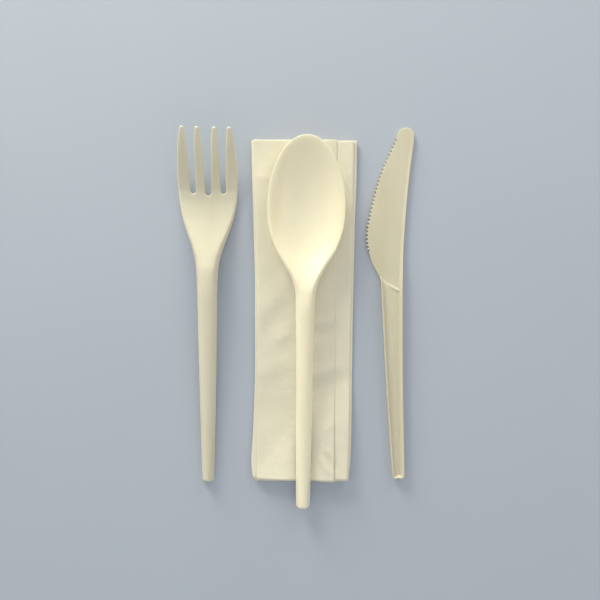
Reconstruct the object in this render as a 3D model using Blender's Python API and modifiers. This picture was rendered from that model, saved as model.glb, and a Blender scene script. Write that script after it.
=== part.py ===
"""Disposable cutlery set: fork, spoon and knife of moulded plastic with a folded
paper napkin, lying side by side on a table.  The spoon lies on the napkin.

Frame: metres, +Z up, +Y from the handles' feet to the tips, +X to the right,
origin on the table under the middle of the set.
"""
import math

import bmesh
import bpy

MM = 0.001

# ---------------------------------------------------------------- dimensions (mm)
SET_X = 1.795            # from the napkin's own origin to the middle of the set
SET_Y = -76.327
CLEARANCE = 0.3          # between the spoon and the napkin that it lies on

# fork
FORK_LENGTH = 163.1
FORK_WALL = 1.7
FORK_FOOT = (-43.56, 0.6)        # foot of its axis
FORK_LEAN = -1.12                # degrees about +Z
FORK_DRAFT = 1.2                 # how far the side wall leans out over its height
FORK_SLOT_END = (133.3, 134.2)   # bottoms of the middle slot and the outer slots
FORK_TIP_RADIUS = 1.05

# spoon
SPOON_LENGTH = 171.15
SPOON_WALL = 1.5
SPOON_FOOT = (1.35, -11.2)
SPOON_LEAN = -0.60
BOWL_CENTRE = 139.5              # widest station
BOWL_HALF_WIDTH = 17.0
BOWL_DEPTH = 5.4
BOWL_RIM = 1.2                   # flat width of the rim
BOWL_FULLNESS = 1.9              # exponent of the bowl's section

# knife
KNIFE_LENGTH = 161.3
KNIFE_FOOT = (46.1, 2.3)
KNIFE_LEAN = 3.05
KNIFE_PLATE = 1.4                # blade and channel floor
KNIFE_RIM_HEIGHT = 3.6
KNIFE_RIM_WIDTH = 1.15
KNIFE_SPINE_WIDTH = 1.6
KNIFE_TIP = (9.1, 157.6, 3.7)    # centre and radius of the round tip
TEETH = 32
TOOTH_DEPTH = 0.6
TEETH_FROM, TEETH_TO = 106.0, 158.6

# napkin
NAPKIN_TOP = 3.3
NAPKIN_Y = (2.6, 158.4)

# stations along each piece: (distance from the foot, value)
FORK_HALF_WIDTH = [(0, 2.75), (9, 3.12), (30, 3.55), (50, 3.9), (70, 4.2), (86, 4.42),
                   (96, 4.65), (103, 5.2), (110, 6.85), (117, 9.3), (124, 11.45),
                   (128, 12.25), (133, 12.95), (141, 13.25), (150, 12.85), (157, 12.0),
                   (162.2, 11.13), (166, 10.5)]
FORK_HEIGHT = [(0, 4.14), (20, 4.7), (40, 5.6), (60, 6.7), (80, 7.9), (92, 8.5),
               (100, 8.3), (107, 6.9), (113, 5.25), (119, 3.75), (125, 2.7), (131, 2.27),
               (135, 2.6), (140, 4.0), (147, 6.6), (154, 9.15), (162, 11.8), (166, 13.0)]
FORK_SKIRT = [(0, 3.45), (80, 3.8), (94, 3.8), (104, 3.2), (114, 1.9), (124, 0.6),
              (131, 0.25), (166, 0.25)]
FORK_CROWN = [(0, 0.45), (60, 0.6), (92, 0.6), (108, 0.25), (118, 0.0), (134, -0.5),
              (166, -0.5)]

SPOON_HALF_WIDTH = [(0, 3.1), (4, 3.27), (14, 3.42), (39, 3.66), (70, 3.75), (90, 4.1),
                    (101, 4.32), (104.5, 4.75), (108.2, 5.8), (111.6, 7.35), (115.5, 9.5),
                    (119, 11.5), (122.7, 13.4), (128, 15.4), (131.5, 16.25),
                    (135.1, 16.78), (139.5, 17.0)]
SPOON_HEIGHT = [(0, 4.1), (14, 4.45), (34, 5.45), (54, 6.5), (74, 7.5), (90, 8.3),
                (99, 8.75), (106, 8.6), (114, 7.95), (122, 7.35), (136, 6.95),
                (153, 7.5), (163, 8.4), (171, 9.4)]
SPOON_SKIRT = [(0, 3.45), (90, 3.6), (100, 3.1), (108, 1.9), (115, 0.9), (123, 0.35),
               (171, 0.3)]
SPOON_DEPTH = [(0, -0.35), (92, -0.4), (103, 0.1), (109, 1.35), (115, 3.0), (121, 4.35),
               (127, 5.1), (133, 5.35), (139.5, 5.4)]

KNIFE_EDGE = [(0, -2.25), (4.4, -2.45), (14, -2.8), (24, -3.08), (43, -3.68), (62, -4.0),
              (80, -4.23), (92, -4.32), (95.4, -4.68), (99, -6.35), (103, -8.15),
              (106.4, -9.0), (110, -9.85), (113.7, -10.05), (117.2, -9.75),
              (122.5, -8.55), (129.5, -6.7), (136.4, -4.55), (143.3, -1.9),
              (150, 1.45), (156.8, 4.8), (158.6, 5.5)]
KNIFE_SPINE = [(0, 2.9), (4, 3.2), (24, 3.5), (43, 3.83), (62, 4.31), (80, 4.92),
               (91, 5.36), (100, 5.76), (110, 6.5), (120, 7.5), (130, 8.65), (140, 10.0),
               (148, 11.26), (153, 12.2), (157.6, 12.8)]
KNIFE_BEAD = [(-4.4, 96.0), (-3.6, 95.1), (-1.4, 93.0), (0.9, 91.5), (3.1, 90.2),
              (4.0, 89.9)]

NAPKIN_LEFT = [(0, -21.6), (7, -22.6), (12, -22.75), (21, -22.15), (36, -21.35),
               (50, -20.85), (78, -20.45), (100, -20.3), (119, -20.6), (145, -21.2),
               (159, -21.3)]
NAPKIN_RIGHT = [(0, 22.3), (7, 23.1), (12, 23.55), (36, 23.95), (78, 24.05), (100, 24.2),
                (119, 24.5), (145, 25.1), (159, 25.15)]
NAPKIN_FOLD = [(0, -20.4), (17, -19.9), (41, -19.45), (85, -19.3), (130, -20.0),
               (159, -20.7)]
NAPKIN_SECOND = [(0, 21.8), (26, 22.6), (90, 23.0), (159, 23.6)]
NAPKIN_FLAP = [(0, 15.75), (26, 15.85), (58, 16.4), (101, 16.15), (159, 16.45)]


# ---------------------------------------------------------------- helpers
def curve_through(stations):
    """Smooth curve through stations, without overshoot between them."""
    xs = [p[0] for p in stations]
    ys = [p[1] for p in stations]
    n = len(xs)
    gap = [xs[i + 1] - xs[i] for i in range(n - 1)]
    rise = [(ys[i + 1] - ys[i]) / gap[i] for i in range(n - 1)]
    slope = [rise[0]] + [0.0] * (n - 2) + [rise[-1]]
    for i in range(1, n - 1):
        if rise[i - 1] * rise[i] > 0:
            w1 = 2 * gap[i] + gap[i - 1]
            w2 = gap[i] + 2 * gap[i - 1]
            slope[i] = (w1 + w2) / (w1 / rise[i - 1] + w2 / rise[i])

    def value(x):
        x = min(max(x, xs[0]), xs[-1])
        i = 0
        while i < n - 2 and x > xs[i + 1]:
            i += 1
        t = (x - xs[i]) / gap[i]
        return ((1 + 2 * t) * (1 - t) ** 2 * ys[i] + t * (1 - t) ** 2 * gap[i] * slope[i]
                + t * t * (3 - 2 * t) * ys[i + 1] + t * t * (t - 1) * gap[i] * slope[i + 1])
    return value


def spread(start, end, count):
    return [start + (end - start) * k / (count - 1) for k in range(count)]


def material(name, colour, roughness):
    mat = bpy.data.materials.new(name)
    mat.use_nodes = True
    shader = mat.node_tree.nodes["Principled BSDF"]
    shader.inputs["Base Color"].default_value = (*colour, 1.0)
    shader.inputs["Roughness"].default_value = roughness
    shader.inputs["Metallic"].default_value = 0.0
    mat.diffuse_color = (*colour, 1.0)
    return mat


def collection(name):
    group = bpy.data.collections.new(name)
    bpy.context.scene.collection.children.link(group)
    return group


def move_to(ob, group):
    for old in list(ob.users_collection):
        old.objects.unlink(ob)
    group.objects.link(ob)


def set_down(ob, foot, lean, height=0.0):
    """Places a piece, modelled from its foot along +Y, in the set."""
    ob.location = ((foot[0] + SET_X) * MM, (foot[1] + SET_Y) * MM, height * MM)
    ob.rotation_euler = (0.0, 0.0, math.radians(lean))


def flat_outline(name, points, low, high, group):
    """Flat closed outline made as thick as low to high, as a mesh."""
    data = bpy.data.curves.new(name, "CURVE")
    data.dimensions = "2D"
    data.fill_mode = "BOTH"
    data.extrude = (high - low) / 2 * MM
    line = data.splines.new("POLY")
    line.points.add(len(points) - 1)
    for point, (x, y) in zip(line.points, points):
        point.co = (x * MM, y * MM, 0.0, 1.0)
    line.use_cyclic_u = True
    source = bpy.data.objects.new(name + "_outline", data)
    bpy.context.scene.collection.objects.link(source)
    bpy.context.view_layer.update()
    evaluated = source.evaluated_get(bpy.context.evaluated_depsgraph_get())
    mesh = bpy.data.meshes.new_from_object(evaluated)
    bpy.data.objects.remove(source)
    bm = bmesh.new()
    bm.from_mesh(mesh)
    bmesh.ops.remove_doubles(bm, verts=bm.verts, dist=0.00002)
    bmesh.ops.translate(bm, verts=bm.verts, vec=(0.0, 0.0, (high + low) / 2 * MM))
    bmesh.ops.recalc_face_normals(bm, faces=bm.faces)
    bm.to_mesh(mesh)
    bm.free()
    mesh.name = name
    ob = bpy.data.objects.new(name, mesh)
    group.objects.link(ob)
    return ob


def cut(ob, cutter):
    cutter.hide_render = True
    cutter.display_type = "WIRE"
    step = ob.modifiers.new("cut_" + cutter.name, "BOOLEAN")
    step.operation = "DIFFERENCE"
    step.solver = "EXACT"
    step.object = cutter


def moulded_shell(name, rows, columns, place, wall, group):
    """A shell: a grid whose points are set by place(row, column), then thickened."""
    bpy.ops.mesh.primitive_grid_add(x_subdivisions=columns, y_subdivisions=rows, size=2.0)
    ob = bpy.context.object
    ob.name = name
    ob.data.name = name
    for vertex in ob.data.vertices:
        column = round((vertex.co.x + 1.0) / 2.0 * columns)
        row = round((vertex.co.y + 1.0) / 2.0 * rows)
        x, y, z = place(row, column)
        vertex.co = (x * MM, y * MM, z * MM)
    thick = ob.modifiers.new("wall", "SOLIDIFY")
    thick.thickness = wall * MM
    thick.offset = -1.0
    thick.use_even_offset = True
    thick.thickness_clamp = 0.0
    ob.data.shade_smooth()
    ob.data.set_sharp_from_angle(angle=math.radians(40))
    move_to(ob, group)
    return ob


def foot_side(across, inset, half_width, radius, where):
    """Point on the handle's rounded foot.  where 0 is the end's corner, 1 is
    where the side becomes straight; across gives the side, -1 or 1."""
    angle = math.radians(45.0 * (1.0 - where))
    edge = half_width - inset
    return (across * (edge - radius * (1.0 - math.cos(angle))),
            inset + radius * (1.0 - math.sin(angle)))


def foot_end(share, inset, half_width, radius):
    """Point on the foot's end, share -1 to 1 from corner to corner."""
    edge = half_width - inset
    reach = edge - radius * (1.0 - math.cos(math.radians(45.0)))
    x = share * reach
    past = abs(x) - (edge - radius)
    if past <= 0:
        return x, inset
    return x, inset + radius - math.sqrt(max(radius * radius - past * past, 0.0))


# ---------------------------------------------------------------- fork
def make_fork(group, cutters):
    half = curve_through(FORK_HALF_WIDTH)
    height = curve_through(FORK_HEIGHT)
    skirt = curve_through(FORK_SKIRT)
    crown = curve_through(FORK_CROWN)
    stations = ([4.2, 8.0] + spread(16, 96, 9) + [101, 105, 108, 111, 114, 117, 120, 123,
                126, 129, 132, 135] + spread(138.5, 166, 9))
    rows = len(stations) + 1
    columns = 12
    outer_radius, inner_radius = 1.7, 0.9

    def place(row, column):
        on_wall = column in (0, columns)
        side = -1 if column < columns / 2 else 1
        share = -1 + 2 * (column - 1) / (columns - 2)
        if row == 0:                                   # bottom edge of the end wall
            x, y = foot_end(-1 + 2 * column / columns, 0.0, half(0), outer_radius)
            return x, y, height(y) - skirt(y)
        if row == 1:
            if on_wall:
                x, y = foot_side(side, 0.0, half(0), outer_radius, 0.6)
                return x, y, height(y) - skirt(y)
            x, y = foot_end(share, FORK_DRAFT, half(0), inner_radius)
            return x, y, height(y) + crown(y) * (1 - share * share) - 0.25
        y = stations[row - 2]
        if row == 2 and on_wall:
            x, y = foot_side(side, 0.0, half(y), outer_radius, 1.0)
            return x, y, height(y) - skirt(y)
        if on_wall:
            return side * half(y), y, height(y) - skirt(y)
        edge = half(y) - FORK_DRAFT
        return share * edge, y, height(y) + crown(y) * (1 - share * share)

    fork = moulded_shell("fork", rows, columns, place, FORK_WALL, group)

    # comb-shaped cutter: the three slots between the tines and the round tips
    tines = [(-10.1, -0.93, -12.9), (-3.65, -1.0, 0), (3.65, -1.0, 0), (10.1, -0.93, 12.9)]
    inner_edge = {0: [(135.0, -8.0), (145, -8.2), (153.5, -8.55), (162.3, -9.1)],
                  1: [(134.1, -1.37), (145, -1.65), (153.5, -1.95), (162.3, -2.6)]}
    outer_edge = {1: [(135.0, -5.5), (145, -5.35), (153.5, -5.22), (162.3, -4.75)]}

    def tip(centre, start, stop, steps=7):
        top = FORK_LENGTH - FORK_TIP_RADIUS
        return [(centre + FORK_TIP_RADIUS * math.cos(math.radians(a)),
                 top + FORK_TIP_RADIUS * math.sin(math.radians(a)))
                for a in spread(start, stop, steps)]

    def slot_end(left, right, bottom, steps=7):
        radius = (right - left) / 2
        middle = (right + left) / 2
        return [(middle + radius * math.cos(math.radians(a)),
                 bottom + radius + radius * math.sin(math.radians(a)))
                for a in spread(180, 360, steps)]

    def half_comb():
        """Outline of the left half, from outside the left tine to the middle."""
        points = [(-16.0, 170.0), (-16.0, 160.8), (-11.6, 160.8)]
        points += tip(-10.12, 168, 20, 9)
        points += [(x, y) for y, x in reversed(inner_edge[0][1:3])]
        points += slot_end(-7.98, -5.5, FORK_SLOT_END[1])
        points += [(x, y) for y, x in outer_edge[1][1:3]]
        points += tip(-3.66, 165, 20, 9)
        points += [(x, y) for y, x in reversed(inner_edge[1][1:3])]
        return points

    left = half_comb()
    right = [(-x, y) for x, y in reversed(left)]
    outline = left + slot_end(-1.37, 1.37, FORK_SLOT_END[0]) + right
    comb = flat_outline("fork_comb", outline, -6.0, 20.0, cutters)
    cut(fork, comb)
    for ob in (fork, comb):
        set_down(ob, FORK_FOOT, FORK_LEAN)
    return fork


# ---------------------------------------------------------------- spoon
def make_spoon(group):
    half = curve_through(SPOON_HALF_WIDTH)
    height = curve_through(SPOON_HEIGHT)
    skirt = curve_through(SPOON_SKIRT)
    depth = curve_through(SPOON_DEPTH)
    draft = curve_through([(0, 1.2), (93, 1.2), (115, BOWL_RIM), (171, BOWL_RIM)])
    stations = ([4.2, 8.0] + spread(16, 88, 8) + [94, 99, 103, 106, 109, 112, 115, 118,
                121, 124, 127.5, 131, 135])
    turns = 9                                # rows from the widest station to the tip
    rows = len(stations) + 2 + turns + 1
    columns = 14
    outer_radius, inner_radius = 1.9, 1.0
    reach = SPOON_LENGTH - BOWL_CENTRE
    corner = 60.0                            # where the side ends and the tip begins

    def bowl(x, y, long_inset):
        """Height of the bowl's inside in its round front half."""
        rho = math.hypot(x / (BOWL_HALF_WIDTH - BOWL_RIM),
                         (y - BOWL_CENTRE) / (reach - long_inset))
        return height(y) - BOWL_DEPTH * (1 - min(rho, 1.0) ** BOWL_FULLNESS)

    def place(row, column):
        on_rim = column in (0, columns)
        side = -1 if column < columns / 2 else 1
        share = -1 + 2 * (column - 1) / (columns - 2)
        if row == 0:
            x, y = foot_end(-1 + 2 * column / columns, 0.0, half(0), outer_radius)
            return x, y, height(y) - skirt(y)
        if row == 1:
            if on_rim:
                x, y = foot_side(side, 0.0, half(0), outer_radius, 0.6)
                return x, y, height(y) - skirt(y)
            x, y = foot_end(share, draft(0), half(0), inner_radius)
            return x, y, height(y) - depth(y) * (1 - share * share) - 0.25
        if row < len(stations) + 2:
            y = stations[row - 2]
            if row == 2 and on_rim:
                x, y = foot_side(side, 0.0, half(y), outer_radius, 1.0)
                return x, y, height(y) - skirt(y)
            if on_rim:
                return side * half(y), y, height(y) - skirt(y)
            edge = half(y) - draft(y)
            share = math.sin(math.radians(90 * share)) * 0.35 + share * 0.65
            return (share * edge, y,
                    height(y) - depth(y) * (1 - abs(share) ** BOWL_FULLNESS))
        step = row - len(stations) - 2       # 0 at the widest station
        if row == rows or on_rim:            # outer edge of the rim
            if row == rows:
                angle = 90 - (90 - corner) * (-1 + 2 * column / columns)
            elif row == rows - 1:
                angle = corner - 2.5
            else:
                angle = corner * step / turns
            across = math.cos(math.radians(angle)) * (1 if row == rows else side)
            x = BOWL_HALF_WIDTH * across
            y = BOWL_CENTRE + reach * math.sin(math.radians(angle))
            return x, y, height(y) - skirt(y)
        share = math.sin(math.radians(90 * share)) * 0.35 + share * 0.65
        v = step / turns
        angle = math.radians(corner * v)
        fan = math.radians((90 - corner) * share)
        x = ((BOWL_HALF_WIDTH - BOWL_RIM) * math.cos(angle)
             * ((1 - v) * share + v * math.sin(fan) / math.cos(math.radians(corner))))
        y = BOWL_CENTRE + (reach - BOWL_RIM) * (
            math.sin(angle) + v * v * (math.cos(fan) - math.sin(math.radians(corner))))
        return x, y, bowl(x, y, BOWL_RIM)

    spoon = moulded_shell("spoon", rows, columns, place, SPOON_WALL, group)
    set_down(spoon, SPOON_FOOT, SPOON_LEAN, NAPKIN_TOP + CLEARANCE)
    return spoon


# ---------------------------------------------------------------- knife
def make_knife(group, cutters):
    edge = curve_through(KNIFE_EDGE)
    spine = curve_through(KNIFE_SPINE)
    bead = curve_through(KNIFE_BEAD)

    # cutting edge: teeth evenly spaced along the curve of the edge
    fine = [(edge(s), s) for s in spread(TEETH_FROM, TEETH_TO, 400)]
    along = [0.0]
    for a, b in zip(fine, fine[1:]):
        along.append(along[-1] + math.dist(a, b))
    teeth = []
    k = 0
    for n in range(2 * TEETH + 1):
        target = along[-1] * n / (2 * TEETH)
        while k < len(fine) - 2 and along[k + 1] < target:
            k += 1
        (x0, y0), (x1, y1) = fine[k], fine[k + 1]
        t = (target - along[k]) / (along[k + 1] - along[k])
        size = math.dist((x0, y0), (x1, y1))
        out = (-(y1 - y0) / size, (x1 - x0) / size)
        reach = TOOTH_DEPTH / 2 * (1 if n % 2 else -1)
        teeth.append((x0 + (x1 - x0) * t + out[0] * reach, y0 + (y1 - y0) * t + out[1] * reach))

    cx, cy, radius = KNIFE_TIP
    foot = [(edge(2.0), 2.0), (edge(1.4) + 0.5, 0.9), (edge(1.4) + 1.5, 0.4)]
    foot_right = [(spine(1.4) - 1.5, 0.4), (spine(1.4) - 0.5, 0.9), (spine(2.0), 2.0)]
    outline = list(reversed(foot))[:]
    outline += [(edge(s), s) for s in [5] + spread(14, 92, 8) + spread(93.5, 105, 9)]
    outline += teeth
    outline += [(cx + radius * math.cos(math.radians(a)), cy + radius * math.sin(math.radians(a)))
                for a in spread(152, 4, 15)]
    outline += [(spine(s), s) for s in spread(156, 5, 22)]
    outline += list(reversed(foot_right))
    knife = flat_outline("knife", outline, 0.0, KNIFE_RIM_HEIGHT, group)

    # channel in the handle, up to the slanting end wall
    w = KNIFE_RIM_WIDTH
    channel = [(edge(4) + w + 0.5, 1.9), (edge(4) + w, 2.7)]
    channel += [(edge(s) + w, s) for s in spread(10, 91, 9)]
    top = [(x, bead(x) - 0.55) for x in spread(edge(94) + w, spine(89) - 1.25, 7)]
    channel += top
    channel += [(spine(s) - 1.25, s) for s in spread(86, 10, 9)]
    channel += [(spine(4) - w, 2.7), (spine(4) - w - 0.5, 1.9)]
    cut(knife, flat_outline("knife_channel", channel, KNIFE_PLATE, 9.0, cutters))

    # blade: everything on the cutting side of the rim along its back
    inner = KNIFE_SPINE_WIDTH
    blade = [(-16.0, 96.6)]
    blade += [(x, bead(x) + 0.55) for x in spread(-4.4, spine(91) - inner, 7)]
    blade += [(spine(s) - inner, s) for s in spread(94, 156, 14)]
    blade += [(11.4, 168.0), (-16.0, 168.0)]
    cut(knife, flat_outline("knife_blade", blade, KNIFE_PLATE, 9.0, cutters))

    # the rims get lower towards the tip
    bpy.ops.mesh.primitive_cube_add(size=1.0)
    slope = bpy.context.object
    slope.name = "knife_slope"
    for vertex in slope.data.vertices:
        x, y, z = (c + 0.5 for c in vertex.co)
        y = 60 + 112 * y
        low = KNIFE_RIM_HEIGHT - (KNIFE_RIM_HEIGHT - 1.7) * (y - 60) / 98.0
        vertex.co = ((-20 + 44 * x) * MM, y * MM, (12.0 if z > 0.5 else low) * MM)
    move_to(slope, cutters)
    cut(knife, slope)

    set_down(knife, KNIFE_FOOT, KNIFE_LEAN)
    for cutter in cutters.objects:
        if cutter.name.startswith("knife_"):
            set_down(cutter, KNIFE_FOOT, KNIFE_LEAN)
    return knife


# ---------------------------------------------------------------- napkin
def make_napkin(group):
    left = curve_through(NAPKIN_LEFT)
    right = curve_through(NAPKIN_RIGHT)
    fold = curve_through(NAPKIN_FOLD)
    second = curve_through(NAPKIN_SECOND)
    flap = curve_through(NAPKIN_FLAP)
    top = NAPKIN_TOP

    def section(y):
        l, r, f, s, e = left(y), right(y), fold(y), second(y), flap(y)
        return [(l + 0.6, 0.0), (r - 0.6, 0.0), (r, 0.55), (r, 1.9), (r - 0.45, 2.35),
                (s, 2.4), (s - 0.1, 2.85), (e + 0.05, 2.9), (e, top - 0.05),
                (e - 0.25, top), (0.0, top), (f + 0.6, top), (f + 0.05, top - 0.45),
                (l + 0.35, 2.3), (l, 1.7), (l, 0.55)]

    stations = [NAPKIN_Y[0], 3.4, 7.0, 12.0] + spread(21, 147, 11) + [157.6, NAPKIN_Y[1]]
    bm = bmesh.new()
    outline = section(stations[0])
    face = bm.faces.new([bm.verts.new((x * MM, stations[0] * MM, z * MM))
                         for x, z in outline])
    for y in stations[1:]:
        made = bmesh.ops.extrude_face_region(bm, geom=[face])
        if y != stations[1]:                             # only the first cap stays
            bmesh.ops.delete(bm, geom=[face], context="FACES_ONLY")
        face = [g for g in made["geom"] if isinstance(g, bmesh.types.BMFace)][0]
        shape = section(y)
        squeeze = 0.12 if y == stations[-1] else 0.0     # the folds draw the end together
        for v in face.verts:
            k = min(range(len(outline)), key=lambda n: math.dist(
                outline[n], (v.co.x / MM, v.co.z / MM)))
            x, z = shape[k]
            v.co = (x * MM, y * MM, (z + (1.6 - z) * squeeze) * MM)
        outline = shape
    # the open ends of the lower layers stick out a little at the foot
    for v in bm.verts:
        if abs(v.co.y - stations[0] * MM) < 1e-7 and v.co.z < 0.0018:
            v.co.y -= 0.0011
    bmesh.ops.recalc_face_normals(bm, faces=bm.faces)
    mesh = bpy.data.meshes.new("napkin")
    bm.to_mesh(mesh)
    bm.free()
    napkin = bpy.data.objects.new("napkin", mesh)
    group.objects.link(napkin)
    set_down(napkin, (0.0, 0.0), 0.0)
    return napkin


def main():
    for ob in list(bpy.data.objects):
        bpy.data.objects.remove(ob)
    group = collection("cutlery_set")
    cutters = collection("cutters")
    fork = make_fork(group, cutters)
    spoon = make_spoon(group)
    knife = make_knife(group, cutters)
    napkin = make_napkin(group)
    fork.data.materials.append(material("fork_plastic", (0.80, 0.76, 0.62), 0.45))
    spoon.data.materials.append(material("spoon_plastic", (0.81, 0.77, 0.63), 0.45))
    knife.data.materials.append(material("knife_plastic", (0.80, 0.76, 0.61), 0.45))
    napkin.data.materials.append(material("napkin_tissue", (0.86, 0.83, 0.72), 0.95))


main()
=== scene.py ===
"""Looks of the cutlery set: fork, spoon and knife of ivory moulded plastic, and a
folded tissue napkin.  Each is modelled in millimetres from its foot along +Y, then
set down in the set's frame, in metres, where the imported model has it.
"""

import math

import bpy
import numpy as np
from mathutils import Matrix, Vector, geometry, noise


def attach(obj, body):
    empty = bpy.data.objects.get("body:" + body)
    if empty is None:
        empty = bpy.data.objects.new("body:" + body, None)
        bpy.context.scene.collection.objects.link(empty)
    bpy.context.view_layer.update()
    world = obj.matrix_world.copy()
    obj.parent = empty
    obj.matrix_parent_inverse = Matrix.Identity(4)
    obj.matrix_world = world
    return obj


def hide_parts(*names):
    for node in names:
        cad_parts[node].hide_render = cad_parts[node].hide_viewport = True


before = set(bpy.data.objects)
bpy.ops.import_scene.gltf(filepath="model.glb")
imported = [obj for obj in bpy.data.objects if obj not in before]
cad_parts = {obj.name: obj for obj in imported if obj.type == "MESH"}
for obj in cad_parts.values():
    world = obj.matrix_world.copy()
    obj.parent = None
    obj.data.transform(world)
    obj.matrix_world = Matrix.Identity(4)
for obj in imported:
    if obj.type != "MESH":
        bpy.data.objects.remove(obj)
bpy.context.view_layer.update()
MM = 0.001

# ---------------------------------------------------------------- the set's layout (mm)
SET_X, SET_Y = 1.795, -76.327
NAPKIN_TOP = 3.3
FORK_FOOT, FORK_LEAN = (-43.56, 0.6), -1.12
SPOON_FOOT, SPOON_LEAN, SPOON_HEIGHT_OFF = (1.35, -11.2), -0.60, NAPKIN_TOP + 0.3
KNIFE_FOOT, KNIFE_LEAN = (46.1, 2.3), 3.05

FORK_HALF = [(0, 2.75), (9, 3.12), (30, 3.55), (50, 3.9), (70, 4.2), (86, 4.42),
             (96, 4.65), (103, 5.2), (110, 6.85), (117, 9.3), (124, 11.45), (128, 12.25),
             (133, 12.95), (141, 13.25), (150, 12.85), (157, 12.0), (162.2, 11.13)]
FORK_HEIGHT = [(0, 4.14), (20, 4.7), (40, 5.6), (60, 6.7), (80, 7.9), (92, 8.5),
               (100, 8.3), (107, 6.9), (113, 5.25), (119, 3.75), (125, 2.7), (131, 2.27),
               (135, 2.6), (140, 4.0), (147, 6.6), (154, 9.15), (162, 11.8), (166, 13.0)]
FORK_CROWN = [(0, 0.45), (60, 0.6), (92, 0.6), (108, 0.25), (118, 0.0), (134, -0.5), (166, -0.5)]
FORK_DEEP = [(0, 4.1), (12, 4.0), (40, 3.95), (95, 3.95), (105, 3.5), (115, 2.6),
             (125, 1.9), (132, 1.72), (150, 1.68), (164, 1.35)]     # depth of the edge
FORK_DROP = [(0, 3.65), (40, 3.5), (95, 3.5), (105, 3.0), (115, 1.6), (125, 0.75),
             (132, 0.42), (166, 0.34)]                             # height of the side
FORK_DRAFT = [(0, 1.2), (108, 1.2), (118, 1.05), (125, 0.85), (133, 0.5), (140, 0.42),
              (166, 0.38)]
FORK_ROUND = [(0, 0.2), (110, 0.18), (128, 0.1), (150, 0.12), (158, 0.26), (166, 0.3)]
FORK_WALL = 1.7

SPOON_HALF = [(0, 3.1), (4, 3.27), (14, 3.42), (39, 3.66), (70, 3.75), (90, 4.1),
              (101, 4.32), (104.5, 4.75), (108.2, 5.8), (111.6, 7.35), (115.5, 9.5),
              (119, 11.5), (122.7, 13.4), (128, 15.4), (131.5, 16.25), (135.1, 16.78),
              (139.5, 17.0)]
SPOON_HEIGHT = [(0, 4.1), (14, 4.45), (34, 5.45), (54, 6.5), (74, 7.5), (90, 8.3),
                (99, 8.75), (106, 8.6), (114, 7.95), (122, 7.35), (136, 6.95),
                (153, 7.5), (163, 8.4), (171, 9.4)]
SPOON_DEPTH = [(0, -0.35), (92, -0.4), (103, 0.1), (109, 1.35), (115, 3.0), (121, 4.35),
               (127, 5.1), (133, 5.35), (139.5, 5.4)]
SPOON_DEEP = [(0, 4.0), (40, 3.95), (90, 3.85), (99, 3.5), (107, 2.7), (115, 1.9),
              (123, 1.45), (171, 1.3)]
SPOON_DROP = [(0, 3.5), (90, 3.35), (99, 2.9), (107, 1.8), (115, 0.85), (123, 0.14),
              (171, 0.10)]
SPOON_LENGTH, BOWL_CENTRE, BOWL_HALF, BOWL_RIM, BOWL_DEPTH = 171.0, 139.5, 17.0, 1.2, 5.4
SPOON_WALL = 1.5

KNIFE_EDGE = [(0, -2.25), (4.4, -2.45), (14, -2.8), (24, -3.08), (43, -3.68), (62, -4.0),
              (80, -4.23), (92, -4.32), (95.4, -4.68), (99, -6.35), (103, -8.15),
              (106.4, -9.0), (110, -9.85), (113.7, -10.05), (117.2, -9.75),
              (122.5, -8.55), (129.5, -6.7), (136.4, -4.55), (143.3, -1.9),
              (150, 1.45), (156.8, 4.8), (158.6, 5.5)]
KNIFE_SPINE = [(0, 2.9), (4, 3.2), (24, 3.5), (43, 3.83), (62, 4.31), (80, 4.92),
               (91, 5.36), (100, 5.76), (110, 6.5), (120, 7.5), (130, 8.65), (140, 10.0),
               (148, 11.26), (153, 12.2), (157.6, 12.8)]
KNIFE_BEAD = [(-4.4, 96.0), (-3.6, 95.1), (-1.4, 93.0), (0.9, 91.5), (3.1, 90.2),
              (4.0, 89.9)]
KNIFE_RIM = [(0, 3.6), (60, 3.6), (92, 3.2), (110, 2.1), (145, 1.7), (158, 1.45)]
KNIFE_PLATE = 1.4
KNIFE_TIP = (9.1, 157.6, 3.7)
TEETH, TOOTH_DEPTH, TEETH_FROM, TEETH_TO = 32, 1.25, 105.5, 158.6

NAPKIN_LEFT = [(0, -21.6), (7, -22.6), (12, -22.75), (21, -22.15), (36, -21.35),
               (50, -20.85), (78, -20.45), (100, -20.3), (119, -20.6), (145, -21.2),
               (159, -21.3)]
NAPKIN_RIGHT = [(0, 22.3), (7, 23.1), (12, 23.55), (36, 23.95), (78, 24.05), (100, 24.2),
                (119, 24.5), (145, 25.1), (159, 25.15)]
NAPKIN_FOLD = [(0, -20.4), (17, -19.9), (41, -19.45), (85, -19.3), (130, -20.0),
               (159, -20.7)]
NAPKIN_SECOND = [(0, 21.8), (26, 22.6), (90, 23.0), (159, 23.6)]
NAPKIN_FLAP = [(0, 15.75), (26, 15.85), (58, 16.4), (101, 16.15), (159, 16.45)]
NAPKIN_END = 158.4


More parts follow.
